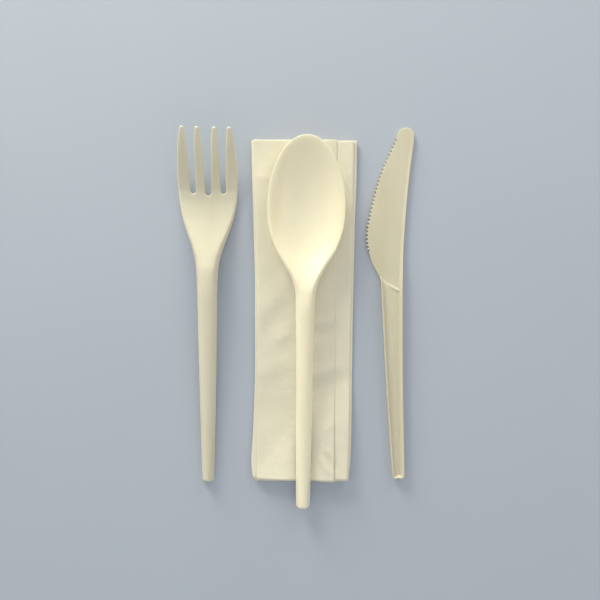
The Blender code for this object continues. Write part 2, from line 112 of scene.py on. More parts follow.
# ---------------------------------------------------------------- curves and outlines
def curve_through(stations):
    """Smooth curve through stations, without overshoot; works on arrays."""
    xs = np.array([p[0] for p in stations], float)
    ys = np.array([p[1] for p in stations], float)
    gap = np.diff(xs)
    rise = np.diff(ys) / gap
    slope = np.concatenate(([rise[0]], np.zeros(len(xs) - 2), [rise[-1]]))
    for i in range(1, len(xs) - 1):
        if rise[i - 1] * rise[i] > 0:
            w1 = 2 * gap[i] + gap[i - 1]
            w2 = gap[i] + 2 * gap[i - 1]
            slope[i] = (w1 + w2) / (w1 / rise[i - 1] + w2 / rise[i])

    def value(x):
        x = np.clip(np.asarray(x, float), xs[0], xs[-1])
        i = np.clip(np.searchsorted(xs, x, side="right") - 1, 0, len(xs) - 2)
        t = (x - xs[i]) / gap[i]
        return ((1 + 2 * t) * (1 - t) ** 2 * ys[i] + t * (1 - t) ** 2 * gap[i] * slope[i]
                + t * t * (3 - 2 * t) * ys[i + 1] + t * t * (t - 1) * gap[i] * slope[i + 1])
    return value


def steepness(curve, s):
    """How much longer the slanted edge is than its station."""
    return np.sqrt(1 + ((curve(s + 0.1) - curve(s - 0.1)) / 0.2) ** 2)


def smooth_step(t):
    t = np.clip(t, 0.0, 1.0)
    return t * t * (3 - 2 * t)


def soft_positive(t, k):
    """t where it is positive, 0 where it is negative, with a rounded corner."""
    return (t + np.sqrt(t * t + k * k)) / 2


def rounding(delta, radius):
    """Drop of a rounded edge at a distance from the outline."""
    u = np.clip(1 - delta / radius, 0.0, 1.0)
    return radius * (1 - np.sqrt(np.maximum(1 - u * u, 0.0)))


def arc(cx, cy, radius, start, stop, steps):
    a = np.radians(np.linspace(start, stop, steps))
    return np.column_stack((cx + radius * np.cos(a), cy + radius * np.sin(a)))


def resampled(points, step):
    """An open run of points at even spacing, both ends kept."""
    points = np.asarray(points, float)
    size = np.hypot(*np.diff(points, axis=0).T)
    along = np.concatenate(([0.0], np.cumsum(size)))
    count = max(int(round(along[-1] / step)), 1)
    at = np.linspace(0, along[-1], count + 1)
    return np.column_stack((np.interp(at, along, points[:, 0]),
                            np.interp(at, along, points[:, 1])))


def joined(runs):
    """Closed outline from (points, step) runs that meet end to end."""
    out = []
    for points, step in runs:
        for p in resampled(points, step):
            if not out or math.dist(out[-1], p) > 0.02:
                out.append(tuple(p))
    if math.dist(out[0], out[-1]) < 0.02:
        out.pop()
    return np.array(out)


def distance_to(points, outline):
    """Distance of each point from a closed outline."""
    a = outline
    b = np.roll(outline, -1, axis=0)
    d = b - a
    size = (d ** 2).sum(1)
    out = np.empty(len(points))
    for k in range(0, len(points), 1500):
        p = points[k:k + 1500]
        rx = p[:, None, 0] - a[None, :, 0]
        ry = p[:, None, 1] - a[None, :, 1]
        t = np.clip((rx * d[:, 0] + ry * d[:, 1]) / size, 0.0, 1.0)
        out[k:k + 1500] = np.sqrt(((rx - t * d[:, 0]) ** 2 + (ry - t * d[:, 1]) ** 2).min(1))
    return out


def inside(points, outline):
    """Whether each point is inside a closed outline."""
    x, y = points[:, 0], points[:, 1]
    found = np.zeros(len(points), bool)
    b = np.roll(outline, -1, axis=0)
    for (x0, y0), (x1, y1) in zip(outline, b):
        if y0 == y1:
            continue
        crosses = (y0 > y) != (y1 > y)
        found ^= crosses & (x < (x1 - x0) * (y - y0) / (y1 - y0) + x0)
    return found


def place(points, foot, lean, height):
    """From a piece's own millimetres to the set's metres."""
    a = math.radians(lean)
    x, y, z = points[:, 0], points[:, 1], points[:, 2]
    return np.column_stack((
        (foot[0] + SET_X + x * math.cos(a) - y * math.sin(a)) * MM,
        (foot[1] + SET_Y + x * math.sin(a) + y * math.cos(a)) * MM,
        (height + z) * MM))


def moulding(name, outline, rings, grid, top, bottom, foot, lean, height, extra=None):
    """Closed moulded piece between top(x, s, d) and bottom(x, s, d) over an outline.
    d is the distance from the outline; rings are distances with rows of points."""
    n = len(outline)
    before, after = np.roll(outline, 1, axis=0), np.roll(outline, -1, axis=0)
    e0, e1 = outline - before, after - outline
    e0 /= np.hypot(*e0.T)[:, None]
    e1 /= np.hypot(*e1.T)[:, None]
    inward = np.column_stack((-(e0 + e1)[:, 1], (e0 + e1)[:, 0]))
    inward /= np.hypot(*inward.T)[:, None]
    lift = 1 / np.maximum((inward * np.column_stack((-e1[:, 1], e1[:, 0]))).sum(1), 0.6)

    points, deltas = [outline], [np.zeros(n)]
    for ring in rings:
        p = outline + inward * (ring * lift)[:, None]
        real = distance_to(p, outline)
        keep = (real > ring - 0.02) & inside(p, outline)
        p, real = p[keep], real[keep]
        cell = np.round(p / max(0.14, 0.0)).astype(int)
        if ring > 0.3:
            _, first = np.unique(cell, axis=0, return_index=True)
            p, real = p[np.sort(first)], real[np.sort(first)]
        points.append(p)
        deltas.append(real)
    if extra is not None and len(extra):
        real = distance_to(extra, outline)
        keep = inside(extra, outline) & (real > 0.1)
        points.append(extra[keep])
        deltas.append(real[keep])
    lo, hi = outline.min(0), outline.max(0)
    gx, gy = np.meshgrid(np.arange(lo[0], hi[0], grid), np.arange(lo[1], hi[1], grid))
    gx[1::2] += grid / 2
    inner = np.column_stack((gx.ravel(), gy.ravel()))
    inner = inner[inside(inner, outline)]
    real = distance_to(inner, outline)
    keep = real > rings[-1] + grid * 0.4
    points.append(inner[keep])
    deltas.append(real[keep])
    points, deltas = np.vstack(points), np.concatenate(deltas)

    edges = [(k, (k + 1) % n) for k in range(n)]
    made = geometry.delaunay_2d_cdt([Vector(p) for p in points], edges, [], 1, 1e-6, True)
    source = np.array([o[0] if o else 0 for o in made[3]])
    triangles = np.array(made[2])
    xy, d = points[source], deltas[source]
    xy_made = np.array([tuple(v) for v in made[0]])
    a, b, c = (xy_made[triangles[:, k]] for k in range(3))
    area = (b - a)[:, 0] * (c - a)[:, 1] - (b - a)[:, 1] * (c - a)[:, 0]
    triangles[area < 0] = triangles[area < 0][:, ::-1]
    triangles = triangles[inside((a + b + c) / 3, outline) & (np.abs(area) > 1e-9)]

    x, s = xy[:, 0], xy[:, 1]
    zt, zb = top(x, s, d), bottom(x, s, d)
    zt = np.maximum(zt, zb + 0.05)
    m = len(xy)
    verts = np.vstack((np.column_stack((x, s, zt)), np.column_stack((x, s, zb))))
    faces = [tuple(t) for t in triangles] + [tuple(t[::-1] + m) for t in triangles]
    place_of = {int(o): k for k, o in enumerate(source) if o < n}
    mid = np.array([[*outline[k], (zt[place_of[k]] + zb[place_of[k]]) / 2]
                    for k in range(n)])
    verts = np.vstack((verts, mid))
    for k in range(n):
        j = (k + 1) % n
        tk, tj, mk, mj = place_of[k], place_of[j], 2 * m + k, 2 * m + j
        faces.append((tk, mk, mj, tj))
        faces.append((mk, tk + m, tj + m, mj))
    mesh = bpy.data.meshes.new(name)
    mesh.from_pydata(place(verts, foot, lean, height).tolist(), [],
                     [tuple(int(i) for i in f) for f in faces])
    mesh.validate()
    # the edge value masks a painted highlight: 1 on the side walls, fading within about half a millimetre of the
    # outline on top and bottom
    edge = mesh.attributes.new("edge", "FLOAT", "POINT")
    value = np.concatenate((np.exp(-d / 0.45), np.exp(-d / 0.45), np.ones(n)))
    edge.data.foreach_set("value", value.astype(np.float32))
    mesh.shade_smooth()
    mesh.set_sharp_from_angle(angle=math.radians(48))
    ob = bpy.data.objects.new(name, mesh)
    bpy.context.scene.collection.objects.link(ob)
    return ob


def foot_run(half, radius, full=0.22):
    """The rounded foot of a handle, from its left side to its right side."""
    w = float(half(radius))
    left = arc(-w + radius, radius, radius, 180, 270, 9)
    right = arc(w - radius, radius, radius, 270, 360, 9)
    middle = [left[-1]]
    reach = w - radius
    middle += [(reach * k, -full * (1 - k * k)) for k in np.linspace(-1, 1, 9)[1:-1]]
    middle.append(right[0])
    return left, middle, right


# ---------------------------------------------------------------- fork
def make_fork():
    half, zc, crown = (curve_through(t) for t in (FORK_HALF, FORK_HEIGHT, FORK_CROWN))
    deep, drop = curve_through(FORK_DEEP), curve_through(FORK_DROP)
    draft, radius = curve_through(FORK_DRAFT), curve_through(FORK_ROUND)
    left, middle, right = foot_run(half, 0.95, 0.14)
    side = np.linspace(0.95, 161.8, 330)
    r = 1.05
    tip = 161.65

    def flank(stations, mirror=1):
        c = curve_through(stations)
        s = np.linspace(stations[0][0], stations[-1][0], 60)
        return np.column_stack((mirror * c(s), s))

    outer_in = flank([(136.3, 7.95), (144.4, 8.2), (152.8, 8.55), (161.8, 9.06)])
    inner_out = flank([(136.3, 5.54), (144.4, 5.35), (152.8, 5.22), (161.8, 4.72)])
    inner_in = flank([(135.6, 1.32), (144.4, 1.65), (152.8, 1.95), (161.8, 2.6)])
    flip = np.array([-1.0, 1.0])
    slot_r = (7.95 - 5.54) / 2
    slot_x = (7.95 + 5.54) / 2
    runs = [(left, 0.3), (middle, 0.4), (right, 0.3),
            (np.column_stack((half(side), side)), 0.45),
            (arc(10.12, tip, r, 8, 174, 15), 0.25),
            (outer_in[::-1], 0.42),
            (arc(slot_x, 135.85, slot_r, 0, -180, 15), 0.28),
            (inner_out, 0.42), (arc(3.66, tip, r, -6, 186, 17), 0.25),
            (inner_in[::-1], 0.42), (arc(0, 135.1, 1.31, 0, -180, 15), 0.28),
            (inner_in * flip, 0.42), (arc(-3.66, tip, r, -6, 186, 17), 0.25),
            (inner_out[::-1] * flip, 0.42),
            (arc(-slot_x, 135.85, slot_r, 0, -180, 15), 0.28),
            (outer_in * flip, 0.42), (arc(-10.12, tip, r, 6, 172, 15), 0.25),
            (np.column_stack((-half(side[::-1]), side[::-1])), 0.45)]
    outline = joined(runs)

    def crowned(x, s):
        edge = np.maximum(half(s) - 1.2, 0.5)
        share = np.clip(1 - (x / edge) ** 2, -0.35, 1.0)
        return crown(s) * soft_positive(share, 0.12)

    def top(x, s, d):
        w, h = draft(s), drop(s)
        return (zc(s) + crowned(x, s) - h / w * soft_positive(w - d, 0.62 - 0.40 * smooth_step((s - 104) / 16))
                - rounding(d, radius(s)))

    def bottom(x, s, d):
        edge = zc(s) - deep(s)
        roof = zc(s) + crowned(x, s) - np.minimum(FORK_WALL, deep(s))
        solid = smooth_step((s - 112) / 14)
        rise = smooth_step((d - 1.0) / 0.75)
        lip = rounding(d, radius(s) * (1 + 0.4 * solid))
        flat = zc(s) + crowned(x, s) - deep(s)
        end = smooth_step((s - 0.9) / 0.8)
        z = (edge + rise * end * (roof - edge)) * (1 - solid) + flat * solid + lip
        return np.maximum(z, 0.02)

    return moulding("fork_moulding", outline,
                    [0.04, 0.1, 0.18, 0.3, 0.45, 0.65, 0.85, 1.0, 1.12, 1.24, 1.36, 1.5,
                     1.65, 1.85, 2.15], 0.62, top, bottom, FORK_FOOT, FORK_LEAN, 0.0)


# ---------------------------------------------------------------- spoon
def make_spoon():
    half, zc, depth = (curve_through(t) for t in (SPOON_HALF, SPOON_HEIGHT, SPOON_DEPTH))
    deep, drop = curve_through(SPOON_DEEP), curve_through(SPOON_DROP)
    reach = SPOON_LENGTH - BOWL_CENTRE
    left, middle, right = foot_run(half, 1.6)
    side = np.linspace(1.6, BOWL_CENTRE, 280)
    a = np.radians(np.linspace(0, 180, 160))
    tip = np.column_stack((BOWL_HALF * np.cos(a), BOWL_CENTRE + reach * np.sin(a)))
    outline = joined([(left, 0.3), (middle, 0.35), (right, 0.3),
                      (np.column_stack((half(side), side)), 0.42), (tip, 0.42),
                      (np.column_stack((-half(side[::-1]), side[::-1])), 0.42)])

    def rho(x, s, inset):
        """0 on the bowl's axis, 1 at a given distance inside the outline."""
        back = np.abs(x) / np.maximum(half(s) - inset * steepness(half, s), 0.8)
        front = np.hypot(x / (BOWL_HALF - inset), (s - BOWL_CENTRE) / (reach - inset))
        return np.where(s <= BOWL_CENTRE, back, front)

    def top(x, s, d):
        w = 1.2 + (BOWL_RIM - 1.2) * smooth_step((s - 95) / 20)
        h = drop(s)
        fill = 2.0 - 0.1 * smooth_step((s - 99) / 14)
        inner = soft_positive(1 - rho(x, s, w) ** fill, 0.02 + 0.18 * smooth_step((s - 100) / 12))
        return (zc(s) - depth(s) * inner - h / w * soft_positive(w - d, 0.62 - 0.44 * smooth_step((s - 100) / 14))
                - rounding(d, 0.2))

    def bottom(x, s, d):
        edge = zc(s) - deep(s)
        roof = zc(s) - SPOON_WALL + 0.3 * soft_positive(1 - rho(x, s, 1.2) ** 2, 0.05)
        rise = smooth_step((d - 0.95) / 0.7) * smooth_step((s - 0.9) / 0.8)
        channel = edge + rise * (roof - edge)
        outer = soft_positive(1 - rho(x, s, 0.2) ** 2.1, 0.02)
        shell = zc(s) - deep(s) - (depth(s) + 0.2 * smooth_step((s - 107) / 8)) * outer
        solid = smooth_step((s - 102) / 12)
        z = channel * (1 - solid) + np.minimum(shell, roof) * solid + rounding(d, 0.2)
        return np.maximum(z, 0.03)

    return moulding("spoon_moulding", outline,
                    [0.04, 0.1, 0.2, 0.34, 0.5, 0.7, 0.9, 1.05, 1.18, 1.28, 1.36, 1.44,
                     1.54, 1.7, 1.95, 2.3], 0.6, top, bottom,
                    SPOON_FOOT, SPOON_LEAN, SPOON_HEIGHT_OFF)


# ---------------------------------------------------------------- knife
def make_knife():
    edge, spine = curve_through(KNIFE_EDGE), curve_through(KNIFE_SPINE)
    bead, rim = curve_through(KNIFE_BEAD), curve_through(KNIFE_RIM)

    s = np.linspace(TEETH_FROM, TEETH_TO, 1200)
    fine = np.column_stack((edge(s), s))
    size = np.hypot(*np.diff(fine, axis=0).T)
    along = np.concatenate(([0.0], np.cumsum(size)))
    count = TEETH * 10
    at = np.linspace(0, along[-1], count + 1)
    px, py = np.interp(at, along, fine[:, 0]), np.interp(at, along, fine[:, 1])
    tx, ty = np.gradient(px), np.gradient(py)
    size = np.hypot(tx, ty)
    phase = (at / along[-1] * TEETH) % 1.0
    # each tooth is a point with a rounded hollow after it
    wave = 1 - 2 * np.clip(1 - np.abs(2 * phase - 1) ** 1.5, 0.0, 1.0) ** 0.8
    fade = np.minimum(smooth_step((at) / 3.0), smooth_step((along[-1] - at) / 2.0))
    out = TOOTH_DEPTH / 2 * wave * fade
    teeth = np.column_stack((px - ty / size * out, py + tx / size * out))

    cx, cy, radius = KNIFE_TIP
    tip = arc(cx, cy, radius, 4, 152, 30)
    lower = np.linspace(TEETH_FROM, 2.0, 230)
    upper = np.linspace(2.0, 156.8, 300)
    w0, w1 = float(edge(2.0)), float(spine(2.0))
    r = 1.6
    foot = np.vstack((arc(w0 + r, r + 0.4, r, 180, 262, 7),
                      [(-0.5, 0.42), (-0.3, 0.75), (0.15, 0.8), (0.6, 0.72), (0.85, 0.4)],
                      arc(w1 - r, r + 0.4, r, 278, 360, 7)))
    outline = joined([(foot, 0.3), (np.column_stack((spine(upper), upper)), 0.45),
                      (tip, 0.35), (teeth[::-1], 0.16),
                      (np.column_stack((edge(lower), lower)), 0.42)])

    def top(x, s, d):
        from_spine = (spine(s) - x) / steepness(spine, s)
        from_edge = (x - edge(s)) / steepness(edge, s)
        h = rim(s)
        beyond = (s - bead(x) + 0.5) * 0.86           # past the slanting end wall
        plate = KNIFE_PLATE + 0.6 * (1 - smooth_step((beyond + 1.2) / 1.6))
        # rims: an upright with a little draft, and a rounded crest
        wide = 1.25 - 0.75 * smooth_step((s - 88) / 14)
        soft = 1.0 + 0.7 * smooth_step((s - 88) / 14)
        right = smooth_step((wide + soft * 0.6 - from_spine) / soft)
        left = smooth_step((0.62 + 0.45 - from_edge) / 0.75) \
            * (1 - smooth_step((beyond + 0.4) / 1.0))
        end = smooth_step((1.45 + 0.4 - s) / 0.6)
        wall = np.where(beyond < 0, smooth_step((beyond + 0.8) / 0.5),
                        1 - smooth_step((beyond - 0.05) / 0.85))
        wall = wall * (0.12 + 0.15 * smooth_step((x + 4.4) / 7.0)) \
            * np.where(x < -3.4, 1 - smooth_step((-3.4 - x) / 1.6) * 0.75, 1.0)
        swell = 0.13 * smooth_step((x + 2.0) / 5.0) * smooth_step((beyond + 0.8) / 0.5) \
            * (1 - smooth_step(beyond / 4.5))
        level = np.maximum.reduce([right, left, end, wall + swell])
        level = level * smooth_step((d + 0.1) / 0.2)
        z = plate + (h - plate) * np.clip(level, 0, 1)
        tall = np.clip(level, 0, 1)
        return z - rounding(d, 0.1 + 0.16 * tall)

    def bottom(x, s, d):
        from_edge = (x - edge(s)) / steepness(edge, s)
        thin = 0.12 * smooth_step(1 - from_edge / 3.0) * smooth_step((s - 100) / 8)
        return 0.0 + thin + rounding(d, 0.1)

    t = np.arange(-5.4, 5.4, 0.3)
    rows = [np.column_stack((t, bead(t) + k)) for k in
            (-1.15, -0.95, -0.8, -0.65, -0.5, -0.3, 0.0, 0.3, 0.55, 0.9, 1.3, 1.8, 2.4, 3.0, 3.6)]
    return moulding("knife_moulding", outline,
                    [0.04, 0.1, 0.18, 0.3, 0.5, 0.75, 0.95, 1.05, 1.15, 1.25, 1.35, 1.45,
                     1.56, 1.68, 1.8, 1.95, 2.3, 2.9], 0.85, top, bottom,
                    KNIFE_FOOT, KNIFE_LEAN, 0.0, extra=np.vstack(rows))


# ---------------------------------------------------------------- napkin
def field(x, y, scale, seed):
    """Smooth deterministic noise over a grid of places, about -1 to 1."""
    out = np.empty(x.shape)
    flat_x, flat_y, flat = x.ravel(), y.ravel(), out.ravel()
    for k in range(flat.size):
        flat[k] = noise.noise(Vector((flat_x[k] / scale[0], flat_y[k] / scale[1], seed)))
    return out


def ridge(x, y, ax, ay, bx, by, width, height):
    """A soft crease from a to b."""
    dx, dy = bx - ax, by - ay
    size = math.hypot(dx, dy)
    t = ((x - ax) * dx + (y - ay) * dy) / size ** 2
    off = ((x - ax) * dy - (y - ay) * dx) / size
    ends = smooth_step((t + 0.15) / 0.3) * smooth_step((1.15 - t) / 0.3)
    return height * np.exp(-(off / width) ** 2) * ends


def make_napkin():
    left, right, fold, second, flap = (curve_through(t) for t in (
        NAPKIN_LEFT, NAPKIN_RIGHT, NAPKIN_FOLD, NAPKIN_SECOND, NAPKIN_FLAP))
    pitch, half_gap, thick = 0.462, 0.112, 0.11
    bend = pitch / 2
    rows = 112
    columns = {7: 34, 6: 34, 5: 20, 4: 12, 3: 12, 2: 12, 1: 12}
    ends = {7: 2.5, 6: 2.95, 5: 2.7, 4: 1.9, 3: 1.25, 2: 0.95, 1: 1.4}
    tops = {7: 158.4, 6: 157.95, 5: 157.8, 4: 158.1, 3: 157.9, 2: 158.2, 1: 158.0}

    def level(k):
        return 0.07 + half_gap + thick / 2 - 0.02 + (k - 1) * pitch

    v = np.linspace(0, 1, rows)
    v = 0.5 * v + 0.5 * (v - np.sin(2 * np.pi * v) / (2 * np.pi) * 0.8)

    def edges(y):
        """Left and right end of each panel at a station."""
        wave = [0.16 * np.sin(y / 17.0 + k * 2.1) + 0.1 * np.sin(y / 6.3 + k) for k in range(8)]
        hem = smooth_step((14 - y) / 14)
        l = {7: fold(y) + 0.4 * wave[7], 5: left(y) + 0.05 + 0.3 * wave[5],
             3: left(y) + 0.55 + 0.6 * wave[3] + 0.5 * hem}
        r = {6: second(y) + 0.3 * wave[6], 4: right(y) - 0.05 + 0.25 * wave[4],
             2: right(y) - 0.5 + 0.5 * wave[2] - 0.9 * hem}
        l[6], l[4], l[2] = l[7], l[5], l[3]
        r[5], r[3], r[1] = r[6], r[4], r[2]
        r[7] = flap(y) + 0.35 * wave[0]
        l[1] = left(y) + 1.1 + wave[1]
        return l, r

    # columns of the path: (panel, kind, parameter)
    path = []
    for k in range(7, 0, -1):
        t = np.linspace(0, 1, columns[k] + 1)
        if k in (7,):                                  # finer near the free edge
            t = t ** 1.25
        path += [(k, "flat", u) for u in t]
        if k > 1:
            path += [(k, "bend", u) for u in np.linspace(0, 1, 7)[1:-1]]
    n = len(path)

    def section(y_of, layer):
        """Points of every column of one layer.  y_of(k) gives a panel's stations."""
        made = np.zeros((len(v), n, 3))
        normal = np.zeros((len(v), n, 2))
        for c, (k, kind, u) in enumerate(path):
            leftward = k % 2 == 1                      # odd panels run to the left
            if kind == "flat":
                y = y_of(k)
                l, r = edges(y)
                a, b = (r[k] - (bend if k < 7 else 0), l[k] + (bend if k > 1 else 0)) \
                    if leftward else (l[k] + bend, r[k] - bend)
                x = a + (b - a) * u
                z = np.full_like(x, level(k))
                nx, nz = 0.0, (1.0 if leftward else -1.0)
                if k == 7:
                    nz = nz * (0.2 + 0.8 * smooth_step(u * 7.0))
            else:
                y = y_of(k) * (1 - u) + y_of(k - 1) * u
                l, r = edges(y)
                angle = math.pi * u
                middle = (level(k) + level(k - 1)) / 2
                if leftward:
                    x = l[k] + bend - bend * math.sin(angle)
                    nx, nz = -math.sin(angle), math.cos(angle)
                else:
                    x = r[k] - bend + bend * math.sin(angle)
                    nx, nz = -math.sin(angle), -math.cos(angle)
                z = np.full_like(x, middle + bend * math.cos(angle))
            made[:, c, 0], made[:, c, 1], made[:, c, 2] = x, y, z
            normal[:, c, 0], normal[:, c, 1] = nx, nz
        made[:, :, 0] += layer * half_gap * normal[:, :, 0]
        made[:, :, 2] += layer * half_gap * normal[:, :, 1]
        return made, normal

    def stations(layer):
        def y_of(k):
            shift = 0.28 * (1 if layer > 0 else -1) * (1 if k % 2 else -1)
            start = ends[k] + shift * 0.5
            return start + (tops[k] - start) * v
        return y_of

    upper, n_up = section(stations(1), 1)
    lower, n_low = section(stations(-1), -1)
    # the fold across the top end joins the two layers
    turn = []
    for angle in (45.0, 90.0, 135.0):
        a = math.radians(angle)
        row = (upper[-1] + lower[-1]) / 2
        row[:, 0] += half_gap * math.cos(a) * n_up[-1, :, 0]
        row[:, 2] += half_gap * math.cos(a) * n_up[-1, :, 1]
        row[:, 1] += half_gap * math.sin(a)
        turn.append(row)
    grid = np.concatenate((upper, np.array(turn), lower[::-1]), axis=0)

    # the tissue isn't flat: soft waves, creases and a little lift at free edges
    x, y, z = grid[:, :, 0], grid[:, :, 1], grid[:, :, 2]
    share = np.clip(z / (7 * pitch), 0, 1.1)
    wave = 0.30 * field(x, y, (17.0, 26.0), 3.7) + 0.12 * field(x, y, (7.5, 11.0), 9.1)
    wave += ridge(x, y, 7.0, 76.3, 17.5, 79.2, 2.2, 0.40)
    wave += ridge(x, y, 6.0, 71.2, 17.5, 75.2, 2.4, -0.26)
    wave += ridge(x, y, 4.5, 52.0, 20.0, 57.5, 3.0, 0.30)
    wave += ridge(x, y, 4.5, 46.2, 20.0, 51.8, 3.0, -0.30)
    wave += ridge(x, y, -4.0, 98.0, -19.0, 80.0, 4.0, 0.15)
    wave += ridge(x, y, -4.0, 86.0, -19.0, 70.0, 4.0, -0.12)
    wave += ridge(x, y, -11.5, 67.5, -2.8, 73.0, 2.0, 0.20)
    wave += ridge(x, y, -13.0, 71.0, -3.0, 77.5, 1.8, 0.12)
    wave += ridge(x, y, -5.0, 60.0, -19.0, 52.0, 4.5, 0.20)
    wave += ridge(x, y, 9.0, 14.0, 14.0, 6.0, 1.3, 0.26)
    wave += ridge(x, y, 11.0, 15.5, 16.0, 8.0, 1.2, -0.20)
    wave += ridge(x, y, 12.5, 18.0, 16.5, 12.0, 1.2, 0.22)
    wave += ridge(x, y, 11.5, 27.0, 15.5, 29.5, 1.3, 0.18)
    wave += ridge(x, y, -18.0, 140.0, -9.0, 152.0, 3.5, 0.22)
    # its lower quarter is bent up a little from two slanting creases
    beside = smooth_step((x + 1.0) / 5.0)
    from_left = soft_positive((x + 19.5) * 0.84 - (y - 7.1) * 0.54, 1.2)
    from_right = soft_positive((x - 6.0) * 0.49 - (y - 40.9) * 0.87, 1.2)
    across = soft_positive(34.7 - y, 1.0)
    bent = (1 - beside) * (0.190 * np.minimum(from_left, from_right) + 0.030 * across) \
        + beside * 0.190 * np.minimum(from_right, 8 + 0.45 * from_right) - 1.30 * smooth_step((104.0 - y) / 68.0)
    # the spoon presses on it where it rests
    press = np.exp(-((x - 1.0) / 6.0) ** 2) * smooth_step((30 - y) / 16)
    press = np.maximum(press, np.exp(-((x - 2.6) / 16.0) ** 2 - ((y - 126.0) / 24.0) ** 2))
    held = smooth_step((y - 96.0) / 20.0)
    wave = wave * (1 - press) - 0.10 * press
    near = np.exp(-((x - 1.4) / 5.5) ** 2) * (1 - held)
    bent = bent * (1 - near)
    z += 1.7 * wave * share ** 2.2 + bent * share
    panel = np.array([k for k, _, _ in path])
    kinds = np.array([kind == "flat" for _, kind, _ in path])
    from_flap = np.clip(flap(y) - x, 0, 60)
    wavy = smooth_step((70.0 - y) / 40.0) * (0.5 + 0.5 * np.sin(y / 6.4 + 0.8 * np.sin(y / 13.0)))
    lift = np.exp(-from_flap / 2.6) * (-0.18 - 0.05 * smooth_step((y - 60) / 40) + 0.14 * wavy)
    z += np.where((panel == 7) & kinds, lift * smooth_step((y - 2) / 5 + 0.4), 0.0)
    hem = smooth_step((9 - y) / 9)
    z += 0.10 * hem * share * (1 + 0.8 * field(x, y * 0, (9.0, 1.0), 5.5))
    grid[:, :, 1] += 0.25 * field(x, y * 0 + panel[None, :] * 7.7, (12.0, 1.0), 1.3) \
        * smooth_step((8 - y) / 8)
    grid[:, :, 2] = np.maximum(z, 0.09)

    total = grid.shape[0]
    corner = np.arange(total * n).reshape(total, n)
    faces = np.stack((corner[:-1, :-1], corner[:-1, 1:], corner[1:, 1:], corner[1:, :-1]),
                     axis=-1).reshape(-1, 4)
    mesh = bpy.data.meshes.new("napkin_tissue")
    mesh.from_pydata(place(grid.reshape(-1, 3), (0.0, 0.0), 0.0, 0.0).tolist(), [],
                     [tuple(int(i) for i in f) for f in faces])
    mesh.validate()
    mesh.shade_smooth()
    ob = bpy.data.objects.new("napkin_sheet", mesh)
    bpy.context.scene.collection.objects.link(ob)
    thickness = ob.modifiers.new("paper", "SOLIDIFY")
    thickness.thickness = thick * MM
    thickness.offset = 0.0
    thickness.use_rim = True
    return ob


# ---------------------------------------------------------------- materials
def srgb(r, g, b):
    def one(c):
        c /= 255.0
        return c / 12.92 if c <= 0.04045 else ((c + 0.055) / 1.055) ** 2.4
    return (one(r), one(g), one(b), 1.0)


class Nodes:
    """A small helper to wire a material's node tree."""

    def __init__(self, name):
        self.mat = bpy.data.materials.new(name)
        self.mat.use_nodes = True
        self.tree = self.mat.node_tree
        self.shader = self.tree.nodes["Principled BSDF"]
        self.column = 0

    def add(self, kind, **values):
        node = self.tree.nodes.new(kind)
        self.column += 1
        node.location = (-1700 + (self.column % 8) * 210, 400 - (self.column // 8) * 260)
        for key, value in values.items():
            if key.startswith("_"):
                node.inputs[key[1:].replace("_", " ")].default_value = value
            else:
                setattr(node, key, value)
        return node

    def link(self, a, output, b, into):
        self.tree.links.new(a.outputs[output], b.inputs[into])

    def coordinates(self, scale=(1, 1, 1), turn=0.0):
        where = self.add("ShaderNodeTexCoord")
        mapping = self.add("ShaderNodeMapping")
        mapping.inputs["Scale"].default_value = scale
        mapping.inputs["Rotation"].default_value = (0.0, 0.0, turn)
        self.link(where, "Object", mapping, "Vector")
        return mapping

    def noise(self, where, scale, detail=3.0, rough=0.5, distortion=0.0):
        node = self.add("ShaderNodeTexNoise", _Scale=scale, _Detail=detail, _Roughness=rough,
                        _Distortion=distortion)
        self.link(where, "Vector", node, "Vector")
        return node

    def ramp(self, source, output, stops):
        node = self.add("ShaderNodeValToRGB")
        ramp = node.color_ramp
        while len(ramp.elements) < len(stops):
            ramp.elements.new(0.5)
        for element, (position, colour) in zip(ramp.elements, stops):
            element.position = position
            element.color = colour
        self.link(source, output, node, "Fac")
        return node

    def to_range(self, source, output, low, high, start=0.3, stop=0.7):
        node = self.add("ShaderNodeMapRange")
        node.inputs["From Min"].default_value = start
        node.inputs["From Max"].default_value = stop
        node.inputs["To Min"].default_value = low
        node.inputs["To Max"].default_value = high
        self.link(source, output, node, "Value")
        return node

    def mix(self, factor, a, b, mode="MIX"):
        node = self.add("ShaderNodeMix", data_type="RGBA", blend_type=mode)
        for value, into in ((factor, 0), (a, 6), (b, 7)):
            if isinstance(value, tuple) and hasattr(value[0], "outputs"):
                self.tree.links.new(value[0].outputs[value[1]], node.inputs[into])
            else:
                node.inputs[into].default_value = value
        return node

    def bump(self, source, output, strength, distance, after=None):
        node = self.add("ShaderNodeBump", _Strength=strength, _Distance=distance)
        self.link(source, output, node, "Height")
        if after is not None:
            self.link(after, "Normal", node, "Normal")
        return node


